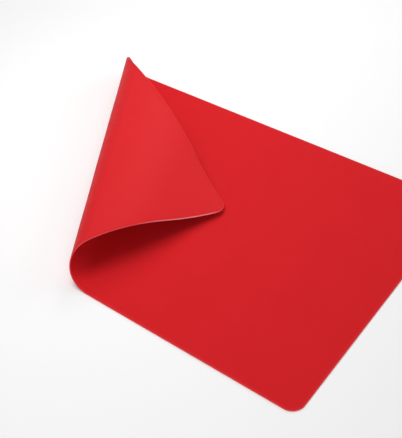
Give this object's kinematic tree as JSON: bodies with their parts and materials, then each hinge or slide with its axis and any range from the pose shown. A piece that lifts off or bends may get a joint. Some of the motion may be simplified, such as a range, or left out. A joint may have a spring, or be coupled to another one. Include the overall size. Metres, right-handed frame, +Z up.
{
  "type": "silicone baking mat",
  "caption": "Thin red silicone baking mat for a half-size sheet pan, shown with one corner peeled back and turned over on itself.",
  "frame": {"origin": "on the underside, in the middle of the rectangle that the mat covers when it lies flat", "axes": "+X along the mat's length, away from the turned-over corner, +Y across the mat towards the back edge, +Z up from the pan"},
  "size_m": [0.4107, 0.2968, 0.0462],
  "materials": {
    "bottom_silicone": "satin red silicone",
    "glass_cloth": "woven glass cloth",
    "top_silicone": "satin red silicone",
    "edge_silicone": "satin red silicone"
  },
  "bodies": {
    "root": {"bottom_silicone_layer": "bottom_silicone", "glass_cloth_core": "glass_cloth", "top_silicone_layer": "top_silicone", "edge_seal": "edge_silicone"}
  },
  "joints": []
}
